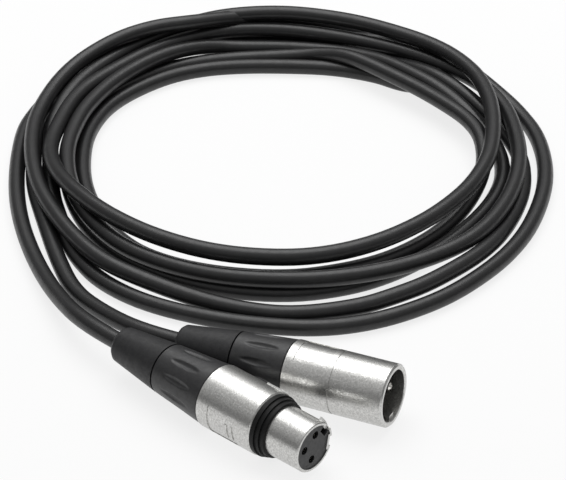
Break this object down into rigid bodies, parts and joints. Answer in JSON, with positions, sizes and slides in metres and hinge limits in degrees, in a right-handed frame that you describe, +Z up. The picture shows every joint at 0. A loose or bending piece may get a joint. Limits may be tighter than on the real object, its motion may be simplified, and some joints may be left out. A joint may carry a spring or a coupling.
{
  "type": "microphone cable coil",
  "caption": "Coiled black microphone cable with a three-pole male and a three-pole female connector, metal shells, latch and screw-on strain relief boots.",
  "frame": {"origin": "middle of the coil's eye on the surface that the cable lies on", "axes": "+Z up out of the coil's eye, +X along the side that both connectors point to, -Y towards the connectors"},
  "size_m": [0.19, 0.2768, 0.0207],
  "materials": {
    "shell_metal": "satin, fine blasted",
    "jacket": "matte",
    "grip_plastic": "satin",
    "sleeve_rubber": "matte",
    "insert_plastic": "satin",
    "ring_plastic": "satin",
    "contact_metal": "silver plated",
    "latch_steel": "satin",
    "clamp_plastic": "matte",
    "conductor_red": "matte",
    "conductor_white": "matte",
    "conductor_bare": "bare twisted screen in a sleeve"
  },
  "bodies": {
    "cable_and_connectors": {"cable_coil": "jacket", "cable_tail_female": "jacket", "cable_tail_male": "jacket", "female_cable_end": "jacket", "female_clamp": "clamp_plastic", "female_conductor_1": "conductor_bare", "female_conductor_2": "conductor_red", "female_conductor_3": "conductor_white", "female_contact_1": "contact_metal", "female_contact_2": "contact_metal", "female_contact_3": "contact_metal", "female_insert": "insert_plastic", "female_ring": "ring_plastic", "female_shell": "shell_metal", "latch_pivot": "latch_steel", "latch_spring": "latch_steel", "male_cable_end": "jacket", "male_clamp": "clamp_plastic", "male_conductor_1": "conductor_bare", "male_conductor_2": "conductor_red", "male_conductor_3": "conductor_white", "male_contact_1": "contact_metal", "male_contact_2": "contact_metal", "male_contact_3": "contact_metal", "male_insert": "insert_plastic", "male_shell": "shell_metal"},
    "latch": {"latch_lever": "latch_steel"},
    "male_boot": {"male_boot_grip": "grip_plastic", "male_boot_sleeve": "sleeve_rubber"},
    "female_boot": {"female_boot_grip": "grip_plastic", "female_boot_sleeve": "sleeve_rubber"}
  },
  "joints": [
    {"name": "latch_hinge", "type": "hinge", "parent": "cable_and_connectors", "child": "latch", "pos_m": [-0.00871, -0.14516, 0.01371], "axis": [0.3823, 0.4276, -0.8192], "range_deg": [0, 2.8], "stiffness_Nm_per_rad": 0.8, "springref_deg": -1.72, "deforming": ["latch_spring"]},
    {"name": "male_boot_unscrew", "type": "slide", "parent": "cable_and_connectors", "child": "male_boot", "axis": [-0.8982, 0.4381, -0.0349], "range_m": [0, 0.0068]},
    {"name": "female_boot_unscrew", "type": "slide", "parent": "cable_and_connectors", "child": "female_boot", "axis": [-0.7455, 0.6665, 0], "range_m": [0, 0.0068]}
  ]
}
